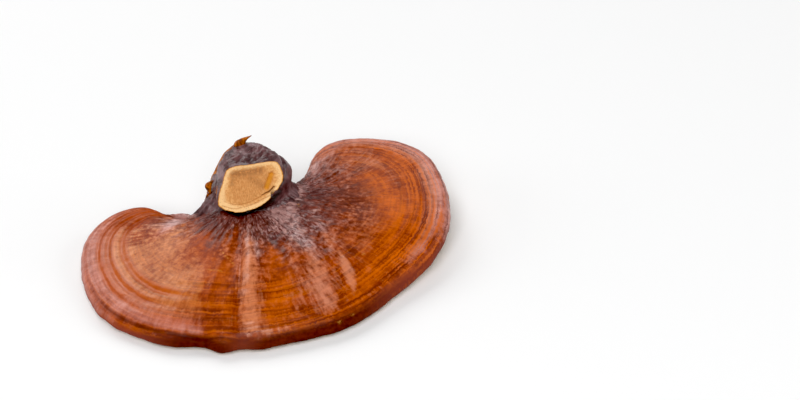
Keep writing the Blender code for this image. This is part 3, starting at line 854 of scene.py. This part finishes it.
# %% The strip at the back left where the skin tore, the painted highlights and shade, and the stem's mesh
TORN_WAY = (0, 0.79, -0.62)
turned_away = stem_facing @ TORN_WAY
torn = smooth_step(turned_away, -0.40, -0.24) * fade(turned_away, 0, 0.30)
torn *= smooth_step(-stem_facing[:, :, 0], 0.25, 0.45) * smooth_step(along_stem, 0.08, 0.2) * (1 - on_cut)
lowered = stem_form + (stem_form[:, :, 2:] - SEAT_HEIGHT) * np.array([-0.11, 1.27, 0])
# A painted shadow on the stem under the cut's lower edge, along the same path.
painted_under_lip_shadow = ribbon(PAINTED_SHADOW_PATH, 1.2, lowered) * fade(off_turn(275), 75, 95)[:, None] * (1 - on_cut)
# Painted highlights on the bump at the right, on the left flank and on the crest.
painted_stem_highlights = most(0.8 * bell(path_gap(skin_x, skin_h, [(3, 9.5), (7, 11)]), 0, 2.6),
            0.8 * towards_turn(158, 26) * bell(along_stem, 0.72, 0.25),
            0.7 * towards_turn(88, 30) * bell(along_stem, 0.62, 0.10))
shadowed = most(bell(channel, 0, 1.5), 0.6 * towards_turn(80, 34) * smooth_step(along_stem, 0.82, 0.9))
stem_mesh = drawn_shell("reishi_stem", stem_skin, {
    "stem_way": stem_way,
    "cut_place": stacked(cut_x, cut_h, from_heart),
}, {
    "skin_marks": (torn, painted_stem_highlights, shadowed, painted_under_lip_shadow),
    "cut_marks": (on_cut, pit, layers, broken),
    "cut_tones": (darker_patches, crack),
})
print("stem", len(stem_mesh.vertices), "points")

# %% [markdown]
# ## Torn flakes of skin
#
# Where the stem was pulled and cut, thin flakes of skin stand up from it: a leaf-shaped one on top
# and two small ones at the left. Each is a strip of grid drawn along a short spine, narrowed at its
# ends, curled across, and given its thickness by Solidify's operator.

# %% The flakes: spine points with half widths in mm, the way across, and how much they curl
FLAKES = {
    "top_flake": ([(-5.4, 22, 38, 2.9), (-5.1, 21.8, 42, 2.5), (-3.6, 21.6, 44.6, 1.5),
                   (-0.3, 21.4, 47, 0.15)], (0.80, 0.25, -0.50), 0.9),
    "left_flake": ([(-16.9, 14, 31.6, 0.4), (-18.6, 14, 29.8, 1.2), (-19.2, 14.2, 27.4, 1.3),
                    (-18.6, 14.2, 25, 0.3)], (-0.95, 0.1, 0.3), 0.7),
    "low_flake": ([(-18.6, 14.6, 25.6, 0.3), (-19.6, 14.8, 23.6, 0.8), (-20.2, 15, 21.6, 0.7),
                   (-19.8, 15.2, 19.6, 0.2)], (-0.95, 0.1, 0.1), 0.4),
}
FLAKE_THICKNESS = 0.35
SORTING_WAY = Vector((1, 10, 100))


def make_flake(name, spine, across, curl):
    """A curled, leaf-shaped strip along its spine."""
    spine, across = np.array(spine), np.array(across) / np.linalg.norm(across)
    strip = bmesh.new()
    bmesh.ops.create_grid(strip, x_segments=8, y_segments=20, size=1.0)
    for vert in strip.verts:
        (*place, half_width), slope = curve_at(spine, (vert.co.y + 1) / 2)
        through = np.cross(slope[:3], across)
        through /= np.linalg.norm(through)
        side = vert.co.x * half_width
        vert.co = Vector((place + across * side + through * curl * vert.co.x * side / 2 - CENTRE) / 1000)
    strip.normal_update()
    bmesh.ops.solidify(strip, geom=strip.faces[:], thickness=FLAKE_THICKNESS / 1000)
    bmesh.ops.recalc_face_normals(strip, faces=strip.faces)
    # Solidify leaves its faces in an order that changes from run to run, so they are put in a fixed one.
    strip.faces.sort(key=lambda face: face.calc_center_median().dot(SORTING_WAY))
    mesh = bpy.data.meshes.new(name)
    strip.to_mesh(mesh)
    print(name, round(strip.calc_volume(signed=True) * 1e9, 2), "cubic mm")
    strip.free()
    mesh.shade_smooth()
    return mesh


flake_meshes = [make_flake(name, *shape) for name, shape in FLAKES.items()]

# %% [markdown]
# ## Shader maths
#
# Node graphs get long, and wiring them by hand hides the idea. This small class wraps one socket, so
# a sum or product of signals adds its own Math nodes, and one method adds any other node.

# %% Signals
class Signal:
    """One value in a material's nodes."""

    def __init__(self, tree, socket=None):
        self.tree, self.socket = tree, socket

    def node(self, kind, inputs=None, output=0, **settings):
        """Adds a node: its settings first, then the values or signals of its sockets."""
        made = self.tree.nodes.new("ShaderNode" + kind)
        for name, value in settings.items():
            setattr(made, name, value)
        for name, value in (inputs or {}).items():
            self.feed(made.inputs[name], value)
        return Signal(self.tree, made.outputs[output])

    def feed(self, socket, value):
        """Links a signal to a socket, or sets the socket's own value."""
        if isinstance(value, Signal):
            self.tree.links.new(value.socket, socket)
        else:
            socket.default_value = value

    def maths(self, operation, one, other):
        return self.node("Math", {0: one, 1: other}, operation=operation)

    def __add__(self, other):
        return self.maths("ADD", self, other)

    def __sub__(self, other):
        return self.maths("SUBTRACT", self, other)

    def __rsub__(self, other):
        return self.maths("SUBTRACT", other, self)

    def __mul__(self, other):
        return self.maths("MULTIPLY", self, other)

    __radd__ = __add__
    __rmul__ = __mul__

    def step(self, start, end):
        """0 below start, 1 above end."""
        return self.node("MapRange", {0: self, 1: start, 2: end}, interpolation_type="SMOOTHSTEP")

    def mix(self, below, above):
        """Below where this is 0, above where it is 1, each a signal or a colour picked on screen."""
        below, above = (shade(*one) if isinstance(one, tuple) else one for one in (below, above))
        return self.node("Mix", {0: self, 6: below, 7: above}, output=2, data_type="RGBA")

    def stretched(self, *amounts):
        """A place, with each axis multiplied."""
        return self.node("VectorMath", {0: self, 1: amounts}, operation="MULTIPLY")

    def noise(self, scale, detail=3, rough=0.55, distort=0):
        """Uneven values from about 0 to 1 at this place."""
        return self.node("TexNoise", {"Vector": self, "Scale": scale, "Detail": detail, "Roughness": rough,
                                      "Distortion": distort})

    def bump(self, strength, distance=0.001):
        """The normal of a surface that this raises, by that many metres where it is 1."""
        return self.node("Bump", {"Height": self, "Strength": strength, "Distance": distance})

    def parts(self):
        """The three numbers of a colour or vector."""
        split = self.node("SeparateXYZ", {0: self})
        return [Signal(self.tree, socket) for socket in split.socket.node.outputs]


print("a signal's own words:", ", ".join(name for name in vars(Signal) if "_" not in name))


# %% Colours, attributes, layers and finishes
def shade(red, green, blue):
    """A colour picked on screen, as the light-linear colour that shaders use."""
    def linear(value):
        value /= 255
        return value / 12.92 if value <= 0.04045 else ((value + 0.055) / 1.055) ** 2.4
    return (linear(red), linear(green), linear(blue), 1)


def new_finish(name):
    """A material, a first signal to build from, and the place on the object."""
    finish = bpy.data.materials.new(name)
    finish.use_nodes = True
    start = Signal(finish.node_tree)
    return finish, start, start.node("TexCoord", output="Object")


def give(start, inputs):
    """Gives the material's Principled shader its signals and plain values."""
    for name, value in inputs.items():
        start.feed(start.tree.nodes["Principled BSDF"].inputs[name], value)


def vector_of(start, name):
    """One of the mesh's vector attributes."""
    return start.node("Attribute", output="Vector", attribute_name=name)


def marks_of(start, name):
    """The four channels of one of the mesh's colour attributes."""
    whole = vector_of(start, name)
    return whole.parts() + [Signal(start.tree, whole.socket.node.outputs["Alpha"])]


def layered(colour, *layers):
    """A colour with others laid over it in turn, each where its mask says."""
    for mask, over in layers:
        colour = mask.mix(colour, over)
    return colour


def place_piece(mesh, *materials):
    """The mesh as an object at the origin, wearing the materials."""
    piece = bpy.data.objects.new(mesh.name, mesh)
    bpy.context.scene.collection.objects.link(piece)
    for worn in materials:
        mesh.materials.append(worn)
    return piece


print("mid grey on screen is", round(shade(128, 128, 128)[0], 2), "in light")

# %% [markdown]
# ## The lacquered crust
#
# Reishi's crust is a clear resin over fibres that all run outwards, so it looks like varnished amber
# with brown streaks. A plain glossy brown would look like plastic. Here the streaks are noise that
# is stretched along the growth lines, the masks from the mesh lay the stain and the orange lines
# over them, broad sheens are painted into the colour where the painted sheen mask says, and a clear
# coat gives the shine. Fine fibres and grain go into the bump, since they break the reflections into
# the short silky dashes that such a crust shows.

# %% The crust's masks and noises
crust, start, place = new_finish("lacquered_crust")
line_way = vector_of(start, "growth")
stained, deep, ringed, on_pores = marks_of(start, "crust")
on_left, on_right, on_amber, on_lip = marks_of(start, "sides")
painted_sheen_mask, groove_shade, flecked, in_painted_shadow = marks_of(start, "marks")
dusky, on_rosy_sheen, lip_reflection_mask, lined = marks_of(start, "tones")
outward = line_way.parts()[2]
outer = outward.step(0.45, 0.75)

silk = line_way.stretched(52, 52, 15).noise(1, 2, 0.55, 0.4)
dash = line_way.stretched(36, 36, 12).noise(1, 2, 0.5, 0.3)
combed = line_way.stretched(28, 28, 22).noise(1, 3, 0.65, 0.8)
grit = place.noise(520, 4, 0.62)
wrinkly = place.noise(330, 3, 0.6, 1.3)
blotch = place.noise(190, 3, 0.6)
cloud = place.noise(70, 3, 0.5)
fine = (silk * 0.5 + grit * 0.5) * outer + grit * (1 - outer)
frayed = start.node("VectorMath", {0: silk, 1: (0, 0, 0.02), 2: line_way}, operation="MULTIPLY_ADD")
bands = frayed.stretched(1.3, 1.3, 40).noise(1, 2, 0.55)
rings = frayed.stretched(2.4, 2.4, 95).noise(1, 2, 0.55)
print("masks and noises", len(crust.node_tree.nodes), "nodes")

# %% Amber ground, dark and light bands, and the stain
tone = (fine * 0.45 + blotch * 0.3 + cloud * 0.25).step(0.36, 0.64)
core_tone = (grit * 0.5 + blotch * 0.5).step(0.34, 0.66)
stain_tone = (fine * 0.6 + blotch * 0.4).step(0.34, 0.66)
dusk_low = on_left.mix((80, 22, 4), (112, 34, 8))
dusk_high = on_left.mix((128, 50, 12), (164, 66, 16))
colour = layered(
    tone.mix((102, 32, 2), (166, 66, 8)),
    (on_amber * 0.9, tone.mix((118, 38, 6), (190, 88, 16))),
    (on_right * on_amber * 0.6, tone.mix((150, 56, 16), (228, 112, 30))),
    (on_left * 0.8, tone.mix((130, 48, 14), (172, 74, 18))),
    (bands.step(0.54, 0.66) * outer * (0.58 - on_right * 0.28), (90, 24, 0)),
    ((1 - rings).step(0.50, 0.64) * outer * 0.36, (212, 106, 6)),
    (ringed * (blotch * 0.9 + 0.30), (176, 76, 14)),
    (dusky * 0.85, tone.mix(dusk_low, dusk_high)),
    (stained * 0.88, stain_tone.mix((78, 26, 14), (122, 54, 34))),
    (deep * 0.9, core_tone.mix((76, 31, 27), (120, 61, 53))),
)
print("with its ground", len(crust.node_tree.nodes), "nodes")

# %% The painted sheen, broken up by the fibres
frizz = (wrinkly * 0.25 + combed * 0.75 - grit) * stained * (1 - outer)
fleece = frizz + grit + (dash - grit) * outer * 0.55
in_stain = stained * (painted_sheen_mask * 1.7 + 0.8) * (1 - on_rosy_sheen * 0.8)
raggedness = 2.8 - on_left * 1.5 - on_right * 1.1 + in_stain + dusky * 3
patchiness = 0.8 - on_left * 0.3
# Painted sheen broken up by noise; the same amount makes the crust smoother and more coated there.
painted_sheen_and_polish = (painted_sheen_mask * 0.9 + (fleece - 0.5) * raggedness + (blotch - 0.5) * patchiness).step(0.10, 1.30)
sheen = layered(
    on_left.mix((222, 138, 94), outward.step(0.74, 0.93).mix((234, 150, 78), (208, 122, 94))),
    # Rose where the painted sheen is pinker.
    (on_rosy_sheen, (212, 150, 138)),
    (stained, (202, 156, 150)),
)
# The painted sheen laid over the crust's colour.
colour = (painted_sheen_and_polish * (on_rosy_sheen * 0.15 + stained * 0.08 + 0.7) * (1 - ringed * 0.72)).mix(colour, sheen)
print("with its bloom", len(crust.node_tree.nodes), "nodes")

# %% Fine rings, cracks, the lip, flecks and the pore side
rim_lines = outward.step(0.74, 0.90) * on_right
lip_colour = grit.step(0.3, 0.7).mix((60, 13, 7), (86, 24, 13))
pore_dots = place.node("TexVoronoi", {"Vector": place, "Scale": 2600})
pore_colour = layered(
    pore_dots.step(0.1, 0.5).mix((150, 112, 70), (206, 176, 130)),
    (cloud.step(0.4, 0.7) * 0.4, (170, 124, 76)),
)
colour = layered(
    colour,
    (rings.step(0.52, 0.67) * (rim_lines * 0.68 + lined * 0.7 + outer * 0.20), (112, 40, 16)),
    ((1 - rings).step(0.52, 0.64) * rim_lines * 0.65, (206, 98, 24)),
    # Dark lines in the creases of the crumples near the stem: painted shade.
    ((1 - wrinkly).step(0.50, 0.60) * deep * 0.5, (66, 20, 14)),
    # The front groove darkened: painted shade.
    (groove_shade * 0.8, (70, 16, 6)),
    # The lip's dark, partly its own colour and partly painted shade, lighter where the painted reflection
    # lies.
    (on_lip * 0.92, lip_reflection_mask.mix(lip_colour, (132, 62, 48))),
    (flecked * grit.step(0.40, 0.55) * 0.8, (230, 162, 70)),
    # The painted shadow under the stem.
    (in_painted_shadow, (22, 7, 4)),
    (on_pores, pore_colour),
)
print("with its lines", len(crust.node_tree.nodes), "nodes")

# %% The crust's shine and bump
rough = fine.step(0.3, 0.7) * 0.10 - painted_sheen_and_polish * 0.12 + on_lip * 0.35 + 0.42
polish = (painted_sheen_and_polish * 0.5 + stained * (1 - dusky * 0.7) * 0.5 + 0.08) * (1 - on_lip * 0.9) * (1 - in_painted_shadow)
grain = grit * 0.13 + silk * outer * 0.05 + dash * outer * 0.10 + blotch * 0.10
leather = (grit * 0.08 + wrinkly * 0.14 + combed * 0.28) * stained
height = grain * (1 - on_lip * 0.8) + bands * 0.05 * outer + leather + pore_dots * on_pores * 0.1
give(start, {
    "Base Color": colour, "Roughness": on_pores * 0.4 + rough, "Coat Weight": (1 - on_pores) * polish,
    "Coat Roughness": 0.22, "Specular IOR Level": 0.18,
    "Normal": height.bump(0.9),
})
cap = place_piece(cap_mesh, crust)
print("crust", len(crust.node_tree.nodes), "nodes")

# %% [markdown]
# ## The stem's skin and the sawn flesh
#
# Near the stem the lacquer turns dark purple-brown, with a grey bloom on its ridges. Painted grey
# highlights lie on its bump, flank and crest, and painted shade in its groove, above the cut and under
# its lower edge. Where the skin tore at the left, the fibres under it are orange. The flesh is a corky
# tan, darker in the middle, with a pale border, a thin orange edge, and dark specks. One material
# could hold both, but skin and flesh share nothing, so each has its own and the faces choose.

# %% The stem's skin
skin, start, place = new_finish("dark_stem_skin")
torn_mask, painted_highlight_mask, shadow_mask, in_painted_shadow = marks_of(start, "skin_marks")
mottle = place.noise(380, 4, 0.6)
haze = place.noise(160, 3, 0.5, 0.6)
fibres = vector_of(start, "stem_way").stretched(60, 60, 6).noise(1, 4, 0.6, 0.3)
torn_edge = (torn_mask + (mottle - 0.5) * 0.6 + (fibres - 0.5) * 1.4).step(0.45, 0.6)
grey = haze.step(0.45, 0.70) * 0.3 + painted_highlight_mask * mottle.step(0.25, 0.60) * 0.6
colour = layered(
    mottle.step(0.35, 0.65).mix((64, 30, 30), (104, 60, 60)),
    # Grey where the bloom lies on the ridges, and painted highlights.
    (grey, (150, 122, 126)),
    (shadow_mask * 0.75, (46, 20, 22)),
    (torn_edge, fibres.step(0.4, 0.6).mix((120, 58, 14), (206, 120, 34))),
    # The painted shadow under the cut's lower edge.
    (in_painted_shadow, (22, 7, 4)),
)
height = mottle * 0.08 + haze * 0.15 + fibres * torn_edge * 0.3
give(start, {
    "Base Color": colour, "Roughness": torn_edge * 0.3 + mottle * 0.12 + 0.40, "Coat Roughness": 0.2,
    "Coat Weight": (1 - torn_edge) * (1 - in_painted_shadow) * 0.4,
    "Normal": height.bump(0.9),
})
print("skin", len(skin.node_tree.nodes), "nodes")

# %% The torn flakes
bark, start, place = new_finish("torn_bark")
run = place.stretched(1, 1, 0.3).noise(900, 3, 0.6)
worn = place.noise(300, 2, 0.5)
orange = run.step(0.4, 0.62).mix((118, 56, 10), (196, 108, 20))
give(start, {
    "Base Color": (worn.step(0.58, 0.7) * 0.8).mix(orange, (60, 30, 18)), "Roughness": 0.55,
    "Normal": run.bump(0.8, 0.0002),
})
flakes = [place_piece(mesh, bark) for mesh in flake_meshes]
print(len(flakes), "flakes")

# %% The sawn flesh
flesh, start, _ = new_finish("sawn_flesh")
cut = vector_of(start, "cut_place")
cut_across, cut_up, cut_share = cut.parts()
_, pit_mask, layer_mask, broken_mask = marks_of(start, "cut_marks")
darker_patch_mask, crack_mask, _, _ = marks_of(start, "cut_tones")
flat = cut.stretched(1, 1, 0)
cork = flat.noise(0.9, 4, 0.6)
speck = flat.noise(2.6, 2, 0.5)
grain = flat.stretched(3, 0.7, 1).noise(1, 4, 0.65)
heart = (cut_share + (cork - 0.5) * 0.3).step(0.50, 0.84)
lower_left = (cut_up * -0.05 + cut_across * -0.02 + 0.75).step(0.2, 0.9)
border = (cut_share + (cork - 0.5) * 0.25 + lower_left * 0.10).step(0.76, 0.94)
orange_edge = (cut_share + (grain - 0.5) * 0.03).step(0.965, 0.985)
colour = layered(
    (cork * 0.65 + grain * 0.35).step(0.34, 0.68).mix((212, 142, 76), (240, 184, 116)),
    ((1 - heart) * 0.6, grain.step(0.4, 0.6).mix((186, 118, 60), (214, 148, 86))),
    # Darker brown patches near the top of the cut.
    (darker_patch_mask * cork.step(0.3, 0.55) * 0.75, (140, 84, 42)),
    (border * 0.85, (252, 208, 148)),
    (layer_mask * grain.step(0.3, 0.6) * 0.7, (168, 100, 40)),
    (crack_mask * 0.8, (104, 58, 26)),
    (pit_mask * 0.85, (216, 142, 26)),
    (broken_mask * 0.8, (96, 54, 26)),
    (speck.step(0.66, 0.71) * 0.8, (120, 72, 34)),
    (orange_edge * 0.9, (212, 136, 20)),
)
height = cork * 0.25 + grain * 0.2 + speck * 0.1
give(start, {
    "Base Color": colour, "Roughness": 0.75,
    "Normal": height.bump(0.4),
})
print("flesh", len(flesh.node_tree.nodes), "nodes")

# %% The stem, with flesh on every face that has a corner on the cut
stem = place_piece(stem_mesh, skin, flesh)
cut_marks = stem_mesh.attributes["cut_marks"].data
for face in stem_mesh.polygons:
    face.material_index = int(any(cut_marks[corner].color[0] > 0.5 for corner in face.vertices))
print("flesh on", sum(face.material_index for face in stem_mesh.polygons), "faces")

# %% [markdown]
# ## Floor and light
#
# The photo is taken on a white ground in soft light, with a wide panel up on the left that gives the
# left lobe its pink sheen. Area lights are such panels, and they show in the lacquer as they would
# in a studio. The crust's broad sheens are partly these reflections and partly painted into its colour.

# %% The floor
ground = bmesh.new()
bmesh.ops.create_grid(ground, x_segments=1, y_segments=1, size=3)
ground_mesh = bpy.data.meshes.new("floor")
ground.to_mesh(ground_mesh)
ground.free()
paper, start, _ = new_finish("white_ground")
give(start, {"Base Color": (0.93, 0.93, 0.93, 1), "Roughness": 0.9})
floor = place_piece(ground_mesh, paper)
print("floor", [round(v, 1) for v in floor.dimensions], "m")

# %% The studio light: degrees from behind towards the right, degrees up, distance, size, strength
PANELS = {
    "front_panel": (186, 50, 1.8, 1.3, 5),
    "sheen_panel": (-34, 42, 1.6, 0.9, 3.3),
    "back_panel": (8, 40, 1.6, 0.7, 2.2),
    "left_panel": (-84, 12, 1.6, 0.9, 2.4),
    "right_panel": (96, 26, 1.6, 0.9, 2.6),
}
for name, (round_degrees, up_degrees, distance, size, strength) in PANELS.items():
    around, up = math.radians(round_degrees), math.radians(up_degrees)
    way = Vector((math.sin(around) * math.cos(up), math.cos(around) * math.cos(up), math.sin(up)))
    light = bpy.data.lights.new(name, "AREA")
    light.size = size
    light.energy = strength * math.pi * size * size
    lamp = bpy.data.objects.new(name, light)
    lamp.location = way * distance
    lamp.rotation_mode = "QUATERNION"
    lamp.rotation_quaternion = way.to_track_quat("Z", "Y")
    bpy.context.scene.collection.objects.link(lamp)

world = bpy.data.worlds.new("studio")
world.use_nodes = True
world.node_tree.nodes["Background"].inputs["Color"].default_value = (1, 1, 1, 1)
world.node_tree.nodes["Background"].inputs["Strength"].default_value = 0.10
bpy.context.scene.world = world
view = bpy.context.scene.view_settings
view.view_transform = "Standard"
view.use_curve_mapping = True
view.curve_mapping.black_level = (0.016, 0.016, 0.016)
view.curve_mapping.update()
print(len(PANELS), "panels")

# %% Riding: the new pieces ride on the root body, and the packed parts they replace are hidden
for piece, node in ((cap, "cap"), (stem, "stem")):
    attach(piece, "root")
    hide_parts(node)
for piece in flakes:
    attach(piece, "root")
